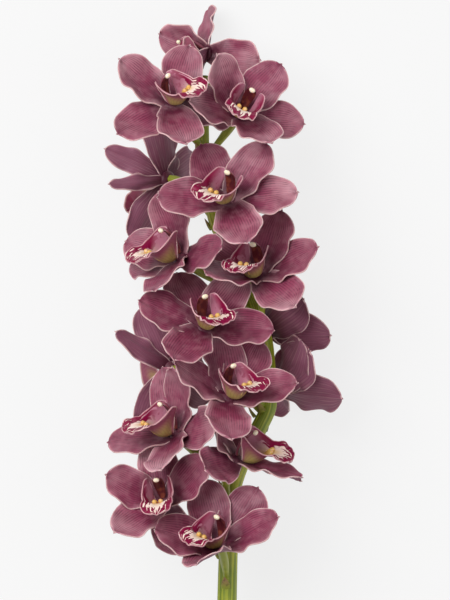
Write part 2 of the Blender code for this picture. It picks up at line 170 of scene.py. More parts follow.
# The ruffles of its midlobe: their middle, how far out they reach their full height, and each as (waves round
# it, shift from bloom to bloom, share of the height). The flare is the gentler wave of the side lobes.
MIDLOBE_AT = 0.78
MIDLOBE_RADIUS = 10.5
RUFFLES = ((7, 1.0, 0.7), (12, 2.3, 0.5))
FLARE = 0.7
FLARE_WAVES = 2.5
# Its two ridges: where they run, how far apart, how high over the lip, and how thick
RIDGE_FROM = 0.3
RIDGE_SPAN = 0.34
RIDGE_ASIDE = ((0, 0.6, 1), (1.3, 2.1, 3.0))
RIDGE_HEIGHTS = (0.4, 1.6)
RIDGE_RADIUS = ((0, 0.15, 0.7, 0.93, 1), (0.2, 1.1, 1.5, 1.8, 0.7))
RIDGE_RINGS = 22
RIDGE_SIDES = 12

# The column, which arches over the lip, and the cap at its end
COLUMN_LENGTH = 24.0
COLUMN_ROOT = (1.6, 1.8)
COLUMN_SLOPE = (40.0, -12.0)
COLUMN_HALF_WIDTH = ((0, 0.15, 0.6, 0.85, 0.96, 1), (2.6, 3.2, 4.3, 4.4, 3.3, 0.6))
COLUMN_HALF_HEIGHT = ((0, 0.15, 0.6, 0.85, 0.96, 1), (2.2, 2.0, 2.0, 2.2, 1.8, 0.5))
COLUMN_FLATNESS = 0.35
HOLLOW_DEPTH = 0.55
HOLLOW_HALF_WIDTH = 0.55
CAP_RADII = (2.4, 1.7, 1.9)
CAP_DROP = 1.2
CAP_REACH = 0.2
CAP_SEAM_DEPTH = 0.12
CAP_SEAM_HALF_WIDTH = 0.14

# Edges that turn by more degrees than this stay sharp
SHARP_ANGLE = 50

# The stage, in metres: the floor, what is left of its colour beside its own light, each lamp as (place,
# size), and the height that the lamps and the camera are set for. The camera's sensor is in millimetres.
FLOOR_SIZE = 14
FLOOR_SHADE = 0.14
LAMPS = {"key": ((-1.3, 1.2, 2.6), 2.2), "fill": ((1.6, -0.8, 2.2), 2.4)}
AIM_HEIGHT = 0.08
SENSOR_WIDTH = 36


@dataclass
class Pose:
    """How one petal or sepal is held: turned round the bloom, raised at its root, curled forward along its
    length, cupped across it, twisted and bent sideways."""

    swing: float = 0
    lift: float = 8
    curl: float = 10
    cup: float = 26
    twist: float = 0
    bend: float = 0
    width: float = 1.0


SIDES = {"dorsal": 90, "petal_l": 158, "petal_r": 22, "sepal_l": 230, "sepal_r": -50}
USUAL = {
    "dorsal": {"lift": 12, "curl": 18, "width": 0.95},
    "petal_l": {"curl": 22, "cup": 22, "width": 0.92},
    "petal_r": {"curl": 22, "cup": 22, "width": 0.92},
    "sepal_l": {"curl": 8},
    "sepal_r": {"curl": 8},
}


@dataclass
class Bloom:
    """Where a bloom grows: the middle of its petals, the way that it faces (turn round Z from +X, tilt down
    from +Z), where its top sepal points seen from above, and how far along Y its stalk leaves the stem."""

    at: tuple
    turn: float
    tilt: float
    top: float
    node: float
    size: float = 1.0
    poses: dict = field(default_factory=dict)


def held(swing=0, lift=8, **more):
    return {"swing": swing, "lift": lift, **more}


BLOOMS = (
    Bloom((-13, 174, 34), 172, 82, 82, 141, 0.85, {
        "dorsal": held(40, -8, twist=20), "petal_l": held(0, 45), "petal_r": held(-22, -66, curl=15),
        "sepal_l": held(-25, 38, width=0.5), "sepal_r": held(15, 14)}),
    Bloom((-38, 138, 84), 80, 42, 147, 105, 0.96, {
        "dorsal": held(5, 12, width=1.0), "petal_l": held(8, -15, width=0.97), "sepal_r": held(0, -20)}),
    Bloom((10, 131, 72), 60, 35, 60, 98, 0.95, {
        "dorsal": held(-11, 15), "petal_l": held(0, 30), "petal_r": held(0, -5, width=0.97),
        "sepal_l": held(-12, 22), "sepal_r": held(10, 30)}),
    Bloom((2, 70, 91), 105, 38, 52, 48, 1.0, {
        "dorsal": held(-3, 6), "petal_l": held(-12, 0), "petal_r": held(15, -12, width=0.97),
        "sepal_l": held(-15, 12), "sepal_r": held(12, 8)}),
    Bloom((-32, 30, 74), 140, 60, 55, -4, 1.0, {
        "dorsal": held(25, 36, curl=32, twist=20), "petal_l": held(32, 12), "petal_r": held(-5, -5),
        "sepal_l": held(-30, 0), "sepal_r": held(0, 20)}),
    Bloom((23, 18, 80), 110, 45, 62, -21, 1.0, {
        "dorsal": held(-5, 15), "petal_l": held(5, 5), "petal_r": held(5, 8, width=1.0),
        "sepal_l": held(10, 40), "sepal_r": held(18, 2)}),
    Bloom((-15, -18, 92), 78, 42, 118, -50, 1.0, {
        "dorsal": held(0, -5), "petal_l": held(-10, 5, width=1.0), "petal_r": held(12, 8),
        "sepal_l": held(-10, 10), "sepal_r": held(20, 8)}),
    Bloom((3, -67, 96), 70, 48, 130, -76, 1.0, {
        "dorsal": held(-22, 17, curl=28, bend=5), "petal_l": held(-18, 14), "petal_r": held(10, 15),
        "sepal_l": held(-5, 5, bend=10), "sepal_r": held(15, 28)}),
    Bloom((29, -20, 38.5), 25, 113, 110, -60, 1.0, {
        "dorsal": held(0, 20), "petal_l": held(0, 10, width=1.05),
        "sepal_l": held(-25, 30, curl=20), "sepal_r": held(0, 30)}),
    Bloom((37, -61, 37), 25, 112, 100, -90, 1.0, {
        "dorsal": held(40, 10, bend=-15), "petal_l": held(-30, 10, width=1.05),
        "petal_r": held(-5, 8, curl=12),
        "sepal_l": held(-42, 30, curl=20), "sepal_r": held(5, 25, curl=-45, twist=-15)}),
    Bloom((-38, -49, 44), 181, 149, 105, -80, 1.0, {
        "dorsal": held(0, 10), "petal_l": held(5, 20), "petal_r": held(28, 0, width=0.5, twist=30),
        "sepal_l": held(-11, 14), "sepal_r": held(-8, 15)}),
    Bloom((-35, -93, 68), 133, 60, 48, -132, 1.0, {
        "dorsal": held(10, 20, curl=60), "petal_l": held(-25, 25), "petal_r": held(0, 0, twist=40),
        "sepal_l": held(0, 20), "sepal_r": held(10, 10)}),
    Bloom((-43, -141, 78), 115, 30, 93, -179, 0.93, {
        "dorsal": held(5, 0), "petal_l": held(0, 25), "petal_r": held(5, 15, curl=32),
        "sepal_l": held(-10, 20), "sepal_r": held(-30, -64)}),
    Bloom((-4, -171, 84), 110, 42, 48, -200, 1.0, {
        "dorsal": held(0, 5, twist=20), "petal_l": held(-18, 15), "petal_r": held(22, 10),
        "sepal_l": held(-8, 35, width=1.1), "sepal_r": held(-15, 35, twist=30)}),
    Bloom((9, -111, 72), 40, 62, 135, -154, 1.0, {
        "dorsal": held(5, 0, curl=55), "petal_l": held(0, -8), "petal_r": held(25, -7, curl=52, twist=20),
        "sepal_l": held(30, 36, width=0.7), "sepal_r": held(-20, 15, width=0.6, twist=-60)}),
    Bloom((-41, 85, 38), 180, 138, 85, 52, 1.0, {
        "petal_l": held(0, 10), "petal_r": held(3, 25, width=0.55),
        "sepal_l": held(55, 20, width=0.8), "sepal_r": held(38, 5, width=0.35, twist=50)}),
)


def linear(code):
    """An sRGB hex colour as linear red, green and blue."""
    shares = [int(code[k:k + 2], 16) / 255 for k in (1, 3, 5)]
    return tuple(c / 12.92 if c <= 0.04045 else ((c + 0.055) / 1.055) ** 2.4 for c in shares)


def colour(name, place, code):
    return FloatVectorProperty(
        name=name, description=f"Colour {place}", subtype="COLOR", size=3, min=0, max=1, default=linear(code))


def amount(name, description, default, **more):
    return FloatProperty(name=name, description=description, default=default, min=0, **more)


def length(name, description, default):
    return amount(name, description, default, subtype="DISTANCE", unit="LENGTH")


def number_of(name, description, default):
    return IntProperty(name=name, description=description, default=default, min=4)


class PetalSettings(bpy.types.PropertyGroup):
    """The petals and sepals"""

    reach: length("Length", "From the root of a petal to its tip", 0.047)
    half_width: length("Half width", "From the midrib to the edge at the widest place", 0.017)
    thickness: length("Thickness", "Thickness of a petal", 0.0008)
    wave: length("Wave", "How far the edge waves up and down", 0.0014)
    groove: length("Groove", "Depth of the groove over the midrib", 0.00045)
    roll: length("Roll", "How far the edge rolls back", 0.0008)
    vein_spacing: length("Vein spacing", "Between two veins at the widest place", 0.0019)
    rows: number_of("Rows", "Rows of faces along a petal", 36)
    columns: number_of("Columns", "Rows of faces across a petal", 22)
    face: colour("Face", "of the face in its open parts", "#8B3A56")
    # The deep colour: painted shade at the root and in the core, and the darker tone of random clouds and of
    # the tips
    deep_and_shade: colour("Deep", "of the face near its root", "#480E26")
    # A painted highlight: the paler pink towards the tip and the edge
    painted_highlight: colour("Highlight", "of the face towards its tip", "#C8959F")
    back: colour("Back", "of the back", "#895267")
    vein: colour("Vein", "of the veins", "#461027")
    edge: colour("Edge", "of the thin pale edge", "#DDB9B8")


class LipSettings(bpy.types.PropertyGroup):
    """The lip"""

    thickness: length("Thickness", "Thickness of the lip", 0.0008)
    ruffle: length("Ruffle", "How far the edge of the midlobe is ruffled", 0.0010)
    rows: number_of("Rows", "Rows of faces along a lip", 48)
    columns: number_of("Columns", "Rows of faces across a lip", 48)
    lobe: colour("Side lobe", "inside the side lobes", "#B06F84")
    cream: colour("Cream", "of the middle of the lip", "#F0D8CC")
    crimson: colour("Crimson", "of the blotches", "#7E0438")
    outside: colour("Outside", "of the outside of the lip", "#9A5569")
    base: colour("Base", "of the outside near its root", "#B9AC62")
    rim: colour("Rim", "of the thin line along the edge", "#DDB0B4")
    callus: colour("Callus", "of the two ridges", "#D9AC5C")


class ColumnSettings(bpy.types.PropertyGroup):
    """The column and its cap"""

    top: colour("Top", "of the back of the column", "#8A4A5A")
    under: colour("Underside", "of the hollow underside", "#561C24")
    streak: colour("Streaks", "of the streaks in the hollow underside", "#94503A")
    cap: colour("Cap", "of the cap", "#F8E8CF")
    pollen: colour("Pollen", "of the yellow spots on the cap", "#E7C58A")


class StemSettings(bpy.types.PropertyGroup):
    """The stem with its stalks"""

    light: colour("Light green", "of the streaks that catch the light", "#B4B838")
    dark: colour("Dark green", "between the streaks", "#6C8014")
    stalk: colour("Stalk", "of the stalks towards the blooms", "#8A8F2C")
    bract: colour("Bract", "of the dry bracts", "#9A7C50")
    withered: colour("Withered", "of the withered spots on the bracts", "#5A4026")
    pith: colour("Pith", "of the cut end", "#CFD3A0")


class StageSettings(bpy.types.PropertyGroup):
    """The floor, the lights and the camera"""

    view_height: length("View height", "How much of the stem the picture shows from top to bottom", 0.42)
    camera_height: length("Camera height", "Height of the camera over the floor", 6.0)
    floor: colour("Floor", "of the floor", "#F6F6F6")
    key: amount("Key light", "Power of the main light", 98, unit="POWER")
    fill: amount("Fill light", "Power of the second light", 20, unit="POWER")
    glow: amount("Floor glow", "How brightly the floor is lit from below", 0.845)
    sky: amount("Sky", "Strength of the even light from all round", 0.32)


def smooth(at, stations, values):
    """A smooth curve through a few stations, which never swings past them."""
    stations, values = np.array(stations, float), np.array(values, float)
    steps = np.diff(stations)
    slopes = np.diff(values) / steps
    turns = np.zeros_like(values)
    both = slopes[:-1] * slopes[1:]
    turns[1:-1] = np.where(both > 0, 2 * both / (slopes[:-1] + slopes[1:] + 1e-12), 0)
    turns[0], turns[-1] = slopes[0], slopes[-1]
    i = np.clip(np.searchsorted(stations, at, side="right") - 1, 0, len(steps) - 1)
    t = (at - stations[i]) / steps[i]
    start = (2 * t**3 - 3 * t**2 + 1) * values[i] + (t**3 - 2 * t**2 + t) * steps[i] * turns[i]
    end = (3 * t**2 - 2 * t**3) * values[i + 1] + (t**3 - t**2) * steps[i] * turns[i + 1]
    return start + end


def ramp(at, low, high):
    """0 below low, 1 above high and smooth between them."""
    t = np.clip((at - low) / (high - low), 0, 1)
    return t * t * (3 - 2 * t)


def along_path(heading, span, at):
    """How far out, how high and at what angle a path is at the places `at`, 0 to 1 along it, where it climbs
    at `heading` degrees."""
    every = np.linspace(0, 1, PATH_STEPS + 1)
    angle = np.radians(heading(every))
    halves = [(np.cos(angle[1:]) + np.cos(angle[:-1])) / 2, (np.sin(angle[1:]) + np.sin(angle[:-1])) / 2]
    reach, rise = (np.concatenate([[0], np.cumsum(half)]) * span / PATH_STEPS for half in halves)
    return np.interp(at, every, reach), np.interp(at, every, rise), np.interp(at, every, angle)


def tepal_outline(u):
    """Share of the full width at u from root to tip: a narrow claw, widest past the middle, a round tip."""
    grow = CLAW_SHARE + (1 - CLAW_SHARE) * np.sin(np.pi / 2 * np.clip(u / WIDEST_AT, 0, 1))
    past = np.clip((u - WIDEST_AT) / (1 - WIDEST_AT), 0, 1)
    return grow * np.sqrt(np.maximum(1 - past**2.3, 0.0004))


def tepal_points(u, v, side, pose, reach, half_width):
    """Points of a petal's middle sheet, at u along it and v across it."""
    out_by, rise, slope = along_path(lambda t: pose.lift + pose.curl * t, reach, u)
    aside = np.radians(pose.bend) * u
    half = half_width * pose.width * tepal_outline(u)
    cup = np.radians(pose.cup) * np.sin(np.pi * u**0.8) ** 0.5 + 1e-6
    across = half * np.sin(cup * v) / cup
    up = half * (1 - np.cos(cup * v)) / cup
    twist = np.radians(pose.twist) * u
    across, up = across * np.cos(twist) - up * np.sin(twist), across * np.sin(twist) + up * np.cos(twist)
    out = TEPAL_ROOT_RADIUS + out_by * np.cos(aside) - up * np.sin(slope) - across * np.sin(aside)
    along = across * np.cos(aside) + out_by * np.sin(aside)
    height = TEPAL_ROOT_HEIGHT + rise + up * np.cos(slope)
    turn = np.radians(side + pose.swing)
    x = out * np.cos(turn) - along * np.sin(turn)
    y = out * np.sin(turn) + along * np.cos(turn)
    return np.stack([x, y, height], axis=-1)


def lip_points(s, t, size):
    """Points of the lip: a trough with two raised side lobes, a waist, and a midlobe that turns down."""
    reach, rise, _ = along_path(lambda at: smooth(at, *LIP_SLOPE), LIP_LENGTH, s)
    half = smooth(s, *LIP_HALF_WIDTH)
    lean = np.radians(smooth(s, *LIP_LEAN))
    wrap = np.radians(smooth(s, *LIP_WRAP))
    bend_width = smooth(s, *LIP_BEND_WIDTH)
    across, up = np.zeros_like(s), np.zeros_like(s)
    for k in range(LIP_ARC_STEPS):
        arc = (k + 0.5) / LIP_ARC_STEPS * np.abs(t) * half
        angle = wrap * np.clip(arc / bend_width, 0, 1) ** 0.8
        across += np.cos(angle) * np.abs(t) * half / LIP_ARC_STEPS
        up += np.sin(angle) * np.abs(t) * half / LIP_ARC_STEPS
    y = LIP_ROOT[0] + rise + up * np.cos(lean)
    z = LIP_ROOT[1] + reach - up * np.sin(lean)
    return np.stack([np.sign(t) * across, y, z], axis=-1) * size


def column_arch(at):
    """Reach, rise and slope of the column's middle line, which rises at first and bends down at its end."""
    return along_path(lambda t: np.interp(t, (0, 1), COLUMN_SLOPE), COLUMN_LENGTH, at)


def normals_of(place, a, b):
    """Unit normals on the face side of the sheet that `place` gives, at a along it and b across it."""
    step = 1e-3
    along = place(np.clip(a + step, 0, 1), b) - place(np.clip(a - step, 0, 1), b)
    across = place(a, b + step) - place(a, b - step)
    normal = np.cross(along, across)
    return normal / (np.linalg.norm(normal, axis=-1, keepdims=True) + 1e-9)


def frame_of(bloom):
    """The bloom's own frame in the stem's: X to its right, Y to its top sepal and Z the way it faces."""
    turn, tilt, top = (math.radians(angle) for angle in (bloom.turn, bloom.tilt, bloom.top))
    facing = Vector((math.sin(tilt) * math.cos(turn), math.sin(tilt) * math.sin(turn), math.cos(tilt)))
    level = Vector((math.cos(top), math.sin(top), 0))
    upward = (level - Vector((0, 0, level.dot(facing) / facing.z))).normalized()
    rightward = upward.cross(facing)
    turned = Matrix((rightward, upward, facing)).transposed()
    return np.array(turned), np.array(Vector(bloom.at) + MIDDLE)


def in_stem(bloom, points):
    """Points of a bloom's own frame in the stem's."""
    turned, moved = frame_of(bloom)
    return points @ turned.T + moved


def above_surface(world, clear):
    """The same points, with those that would be under the surface bent up to lie on it."""
    over = world[..., 2] - clear
    bent = (over + np.sqrt(over**2 + 0.5)) / 2
    world[..., 2] = np.where(over > 6, world[..., 2], bent + clear)
    return world


def new_object(add, name, **settings):
    """Adds an object with one of Blender's operators, with nothing else selected."""
    bpy.ops.object.select_all(action="DESELECT")
    add(**settings)
    obj = bpy.context.object
    obj.name = name
    obj.data.name = name
    return obj


def new_ball(name, segments, rings):
    """A ball with a radius of 1, and its points."""
    obj = new_object(
        bpy.ops.mesh.primitive_uv_sphere_add, name, segments=segments, ring_count=rings, radius=1)
    return obj, points_of(obj)


def new_sheet(name, columns, rows):
    """A flat grid, face side down, so that it faces as a petal does once it is shaped, and the places of its
    points across it, from -1 to 1, and along it, from 0 to 1."""
    obj = new_object(
        bpy.ops.mesh.primitive_grid_add, name, x_subdivisions=columns, y_subdivisions=rows, size=2)
    bpy.ops.object.mode_set(mode="EDIT")
    bpy.ops.mesh.select_all(action="SELECT")
    bpy.ops.mesh.flip_normals()
    bpy.ops.object.mode_set(mode="OBJECT")
    flat = points_of(obj)
    return obj, flat[:, 0], (flat[:, 1] + 1) / 2


def points_of(obj):
    points = np.empty(len(obj.data.vertices) * 3, np.float32)
    obj.data.vertices.foreach_get("co", points)
    return points.reshape(-1, 3).astype(float)


def take_shape(obj, points):
    """Puts the object's mesh points where an array in millimetres says."""
    obj.data.vertices.foreach_set("co", (points * MM).astype(np.float32).ravel())
    obj.data.update()


def note_form(obj, red, green, blue, alpha):
    """Writes four values a point, each from 0 to 1, that the materials read as the attribute `form`."""
    values = np.empty((len(obj.data.vertices), 4), np.float32)
    for k, channel in enumerate((red, green, blue, alpha)):
        values[:, k] = channel
    made = obj.data.attributes.new("form", "FLOAT_COLOR", "POINT")
    made.data.foreach_set("color", values.ravel())


def dress(obj, *finishes):
    """Gives an object its materials, that of its face first."""
    for finish in finishes:
        obj.data.materials.append(finish)
    return obj


def thicken(obj, thickness, back_slot):
    """Gives a sheet its thickness and its back the material after its face's."""
    solid = obj.modifiers.new("Thickness", "SOLIDIFY")
    solid.thickness = thickness
    solid.offset = 0
    solid.material_offset = back_slot
    bpy.context.view_layer.objects.active = obj
    bpy.ops.object.modifier_apply(modifier=solid.name)
    return obj


def settle(name, parts, node):
    """Makes one object of its parts, smooth but for its sharp edges, and puts it in place of its solid."""
    bpy.ops.object.select_all(action="DESELECT")
    for part in parts:
        part.select_set(True)
    obj = parts[0]
    bpy.context.view_layer.objects.active = obj
    bpy.ops.object.join()
    bpy.ops.object.shade_smooth_by_angle(angle=math.radians(SHARP_ANGLE))
    obj.name = name
    obj.data.name = name
    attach(obj, "root")
    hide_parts(node)


def margin_of(x, y, edge):
    """How far points of a flat outline are from its edge, which is given as a line of points."""
    return np.min(np.hypot(x[:, None] - edge[None, :, 0], y[:, None] - edge[None, :, 1]), axis=1)


def rod(name, centres, radius_at, sides, kind, *finishes):
    """A closed rod along a line of centres: a ball whose rings are laid along the line and whose poles close
    its ends. `radius_at` gives the radius at (share along, angle round). `kind` is noted with its form."""
    rings = len(centres)
    obj, ball = new_ball(name, sides, rings + 1)
    ring = np.rint((1 - np.arccos(np.clip(ball[:, 2], -1, 1)) / np.pi) * (rings + 1)).astype(int)
    pole = (ring == 0) | (ring == rings + 1)
    ring = np.clip(ring - 1, 0, rings - 1)
    angle = np.arctan2(ball[:, 1], ball[:, 0])
    centres = np.array(centres, float)
    heading = np.gradient(centres, axis=0)
    heading /= np.linalg.norm(heading, axis=1, keepdims=True)
    first = np.zeros_like(centres)
    side = np.cross(heading[0], (0.0, 0.3, 1.0) if abs(heading[0][2]) < 0.9 else (1.0, 0.0, 0.0))
    for k, ahead in enumerate(heading):
        side = side - ahead * side.dot(ahead)
        side /= np.linalg.norm(side)
        first[k] = side
    second = np.cross(heading, first)
    share = ring / (rings - 1)
    radius = np.where(pole, 0, radius_at(share, angle))[:, None]
    around = first[ring] * np.cos(angle)[:, None] + second[ring] * np.sin(angle)[:, None]
    take_shape(obj, centres[ring] + around * radius)
    note_form(obj, share, 0.5 + 0.5 * np.cos(angle), 0.5 + 0.5 * np.sin(angle), kind)
    return dress(obj, *finishes)


def blotches(size):
    """The scale of a noise whose blotches are about `size` millimetres across."""
    return 1 / (size * MM)


# The kinds of node that the materials use: type, settings, inputs in the order they are given, and output
NODES = {
    "place": ("ShaderNodeTexCoord", {}, (), "Object"),
    "form": ("ShaderNodeAttribute", {"attribute_name": "form"}, (), "Color"),
    "parts": ("ShaderNodeSeparateColor", {}, ("Color",), 0),
    "vector": ("ShaderNodeCombineXYZ", {}, ("X", "Y", "Z"), "Vector"),
    "noise": ("ShaderNodeTexNoise", {}, ("Vector", "Scale", "Detail"), "Fac"),
    "mix": ("ShaderNodeMix", {"data_type": "RGBA"}, (0, 6, 7), 2),
    "step": (
        "ShaderNodeMapRange", {"interpolation_type": "SMOOTHSTEP"},
        ("Value", "From Min", "From Max", "To Min", "To Max"), "Result"),
    "bump": ("ShaderNodeBump", {}, ("Height", "Distance", "Strength"), "Normal"),
}
NODES |= {
    operation.lower(): ("ShaderNodeMath", {"operation": operation}, (0, 1), 0)
    for operation in ("ADD", "SUBTRACT", "MULTIPLY", "MAXIMUM", "ABSOLUTE", "FRACT")
}


def add_node(tree, kind, *values):
    """Adds a node of a kind in NODES, links or sets its inputs in their order, and gives its output."""
    node_type, settings, inputs, output = NODES[kind]
    node = tree.nodes.new(node_type)
    for name, value in settings.items():
        setattr(node, name, value)
    for name, value in zip(inputs, values):
        socket = node.inputs[name]
        if isinstance(value, bpy.types.NodeSocket):
            tree.links.new(value, socket)
        else:
            socket.default_value = (*value, 1) if socket.type == "RGBA" else value
    return node.outputs[output]


def new_material(name, **shader_values):
    """A material, its shader with the plain values on its own sockets, and add_node for the material."""
    made = bpy.data.materials.new(name)
    made.use_nodes = True
    shader = made.node_tree.nodes["Principled BSDF"]
    for socket, value in shader_values.items():
        shader.inputs[socket.replace("_", " ")].default_value = value
    return made, shader, partial(add_node, made.node_tree)


def finished(made, shader, tint, relief=None):
    """Links a material's colour to its shader, and the bump of its surface where it has one."""
    made.node_tree.links.new(tint, shader.inputs["Base Color"])
    if relief is not None:
        made.node_tree.links.new(relief, shader.inputs["Normal"])
    return made


def form_values(add):
    """The four values of the attribute `form`, each from 0 to 1."""
    form = add("form")
    parts = add("parts", form).node
    return [parts.outputs[k] for k in range(3)] + [form.node.outputs["Alpha"]]


def vein_lines(add, across, number, drift):
    """1 on veins that run along a petal, evenly spaced across it but for their drift, and 0 between them."""
    shaken = add("add", across, add("multiply", add("subtract", drift, 0.5), VEIN_DRIFT))
    place = add("fract", add("multiply", shaken, number))
    return add("step", add("absolute", add("subtract", place, 0.5)), *VEIN_HALF_WIDTHS, 1.0, 0.0)


def petal_face_material(petals):
    """The face of a living petal: satin, waxy cells over darker sap veins, which run from the root to the
    tip, with painted shade towards the root, a painted highlight towards the tip and the edge, more pigment
    at the tip and almost none in the last millimetre at the edge."""
    made, shader, add = new_material(
        "petal_face_satin", Roughness=0.46, Subsurface_Weight=0.12, Subsurface_Scale=0.002,
        Subsurface_Radius=(1.0, 0.35, 0.4), Specular_IOR_Level=0.35)
    along, across, margin, tone = form_values(add)
    place = add("place")
    cloud = add("noise", place, blotches(18.2))
    # A little further apart than the finest real veins, so that they show in the picture
    number = 2 * petals.half_width / petals.vein_spacing
    veins = vein_lines(add, across, number, add("noise", place, blotches(14.3)))
    veins = add("multiply", veins, add("step", margin, 0.05, 0.3))
    faint = add("step", add("noise", place, blotches(5.88)), 0.35, 0.65, 0.35, 1.0)
    veins = add("multiply", veins, faint)
    # Painted highlight: paler pink towards the tip and the edge, stronger on some petals than on others, and
    # uneven
    outer = add("maximum", add("step", along, 0.4, 1.0), add("step", margin, 0.1, 0.6, 0.7, 0.0))
    painted_highlight = add("multiply", outer, add("step", tone, 0.1, 0.9, 0.2, 1.0))
    uneven = add("step", add("noise", place, blotches(26.3)), 0.35, 0.65, 0.2, 1.0)
    painted_highlight = add("multiply", painted_highlight, uneven)
    # Painted shade: darker towards the root, where the petals meet in the middle of the bloom
    base = add("mix", add("step", along, 0.0, 0.55), petals.deep_and_shade, petals.face)
    base = add("mix", painted_highlight, base, petals.painted_highlight)
    base = add("mix", add("step", cloud, 0.4, 0.8, 0.0, 0.38), base, petals.deep_and_shade)
    base = add("mix", add("multiply", veins, 0.7), base, petals.vein)
    haze = add("step", add("noise", place, blotches(6.25), 3.0), 0.4, 0.7, 0.0, 0.18)
    # A faint random haze in the colour of the painted highlight
    base = add("mix", haze, base, petals.painted_highlight)
    off_midrib = add("absolute", add("subtract", across, 0.5))
    tip = add("multiply", add("step", along, 0.9, 1.0), add("step", off_midrib, 0.05, 0.3, 0.6, 0.0))
    base = add("mix", tip, base, petals.deep_and_shade)
    base = add("mix", add("step", margin, 0.02, 0.1, 0.85, 0.0), base, petals.edge)
    relief = add("subtract", add("multiply", cloud, 0.5), veins)
    return finished(made, shader, base, add("bump", relief, 0.0001, 0.4))


def petal_back_material(petals):
    """The back of a petal: greyer and duller than its face, with faint pale streaks between fine veins."""
    made, shader, add = new_material(
        "petal_back_matt", Roughness=0.55, Subsurface_Weight=0.1, Subsurface_Scale=0.002,
        Subsurface_Radius=(1.0, 0.35, 0.4), Specular_IOR_Level=0.3)
    along, across, margin, _ = form_values(add)
    place = add("place")
    number = 2 * petals.half_width / petals.vein_spacing
    broad = vein_lines(add, across, number / 2, add("noise", place, blotches(16.7), 1.0))
    streaks = add("multiply", broad, add("step", add("noise", place, blotches(14.3)), 0.35, 0.7))
    fine = vein_lines(add, across, number, add("noise", place, blotches(11.1), 1.0))
    base = add("mix", add("step", along, 0.0, 0.5), petals.deep_and_shade, petals.back)
    base = add("mix", add("multiply", streaks, 0.14), base, petals.edge)
    base = add("mix", add("multiply", fine, 0.22), base, petals.vein)
    cloud = add("step", add("noise", place, blotches(25)), 0.4, 0.7, 0.0, 0.35)
    base = add("mix", cloud, base, petals.deep_and_shade)
    base = add("mix", add("step", margin, 0.0, 0.1, 0.7, 0.0), base, petals.edge)
    return finished(made, shader, base, add("bump", broad, 0.0001, 0.4))


def lip_face_material(lip):
    """The face of the lip: dusty pink side lobes and a cream midlobe, golden in the throat, with crimson
    blotches that run outwards, close up towards the edge and leave a thin pink line along it."""
    made, shader, add = new_material(
        "lip_face_blotched", Roughness=0.42, Subsurface_Weight=0.06, Subsurface_Scale=0.002,
        Subsurface_Radius=(1.0, 0.4, 0.4), Specular_IOR_Level=0.3)
    along, across, margin, tone = form_values(add)
    place = add("place")
    off_middle = add("absolute", add("subtract", across, 0.5))
    throat = add("multiply", add("step", off_middle, 0.05, 0.3, 1.0, 0.0), add("step", along, 0.1, 0.5))
    cream = add("maximum", add("step", along, 0.5, 0.66), throat)
    specks = add("step", add("noise", place, blotches(3.85), 1.0), 0.56, 0.66, 0.0, 0.5)
    specks = add("multiply", specks, add("step", margin, 0.2, 0.6))
    base = add("mix", cream, add("mix", specks, lip.lobe, lip.crimson), lip.cream)
    golden = add("multiply", add("step", off_middle, 0.04, 0.2, 0.75, 0.0), add("step", along, 0.84, 0.6))
    base = add("mix", golden, base, lip.callus)
    # Few blotches from root to tip and more from side to side, and others on each lip
    turned = [add("multiply", value, times) for value, times in ((across, 13), (along, 6), (tone, 20))]
    fingers = add("step", add("noise", add("vector", *turned), 1.0, 1.5), 0.36, 0.64)
    streaks = vein_lines(add, across, 9, add("noise", place, blotches(3.33), 1.0))
    stain = add("add", add("step", margin, 0.3, 1.0, 0.64, 0.0), add("multiply", fingers, 0.5))
    stain = add("add", stain, add("multiply", streaks, 0.16))
    stain = add("multiply", add("step", stain, 0.66, 0.74), add("step", along, 0.34, 0.5))
    base = add("mix", stain, base, lip.crimson)
    base = add("mix", add("step", margin, 0.02, 0.09, 0.7, 0.0), base, lip.rim)
    return finished(made, shader, base, add("bump", fingers, 0.0002, 0.3))


def lip_back_material(lip):
    """The outside of the lip: satin, dusty pink, yellow-green at its root, and the crimson shows through."""
    made, shader, add = new_material(
        "lip_outside_satin", Roughness=0.46, Subsurface_Weight=0.12, Subsurface_Scale=0.002,
        Subsurface_Radius=(1.0, 0.4, 0.4))
    along, across, margin, _ = form_values(add)
    place = add("place")
    off_middle = add("absolute", add("subtract", across, 0.5))
    root = add("step", off_middle, 0.16, 0.4, 1.0, 0.0)
    root = add("multiply", add("step", along, 0.25, 0.52, 1.0, 0.0), root)
    base = add("mix", root, lip.outside, lip.base)
    veins = vein_lines(add, across, 22, add("noise", place, blotches(8.33), 1.0))
    veins = add("multiply", veins, 0.2)
    cloud = add("multiply", add("noise", place, blotches(8.33)), 0.25)
    for share in (veins, add("step", along, 0.58, 0.75, 0.0, 0.5), cloud):
        base = add("mix", share, base, lip.crimson)
    pale = add("step", margin, 0.03, 0.12, 0.6, 0.0)
    return finished(made, shader, add("mix", pale, base, lip.cream))


def callus_material(lip):
    """The two ridges on the lip: plump, waxy and golden, with paler spots."""
    made, shader, add = new_material(
        "callus_waxy_golden", Roughness=0.35, Subsurface_Weight=0.15, Subsurface_Scale=0.002)
    spots = add("step", add("noise", add("place"), blotches(2.5)), 0.5, 0.8, 0.0, 0.5)
    return finished(made, shader, add("mix", spots, lip.callus, lip.cream))


def column_material(column):
    """The column: glossy maroon tissue, darker in its hollow underside, with rusty streaks there."""
    made, shader, add = new_material("column_glossy_maroon", Roughness=0.32)
    _, upper, _, _ = form_values(add)
    streaks = add("step", add("noise", add("place"), blotches(4.55), 1.0), 0.46, 0.66, 0.0, 0.5)
    under = add("mix", streaks, column.under, column.streak)
    return finished(made, shader, add("mix", add("step", upper, 0.35, 0.75), under, column.top))


def cap_material(column):
    """The cap of the column: smooth, waxy and cream, with a little yellow."""
    made, shader, add = new_material(
        "cap_waxy_cream", Roughness=0.38, Subsurface_Weight=0.2, Subsurface_Scale=0.002)
    spots = add("step", add("noise", add("place"), blotches(2)), 0.5, 0.8, 0.0, 0.5)
    return finished(made, shader, add("mix", spots, column.cap, column.pollen))


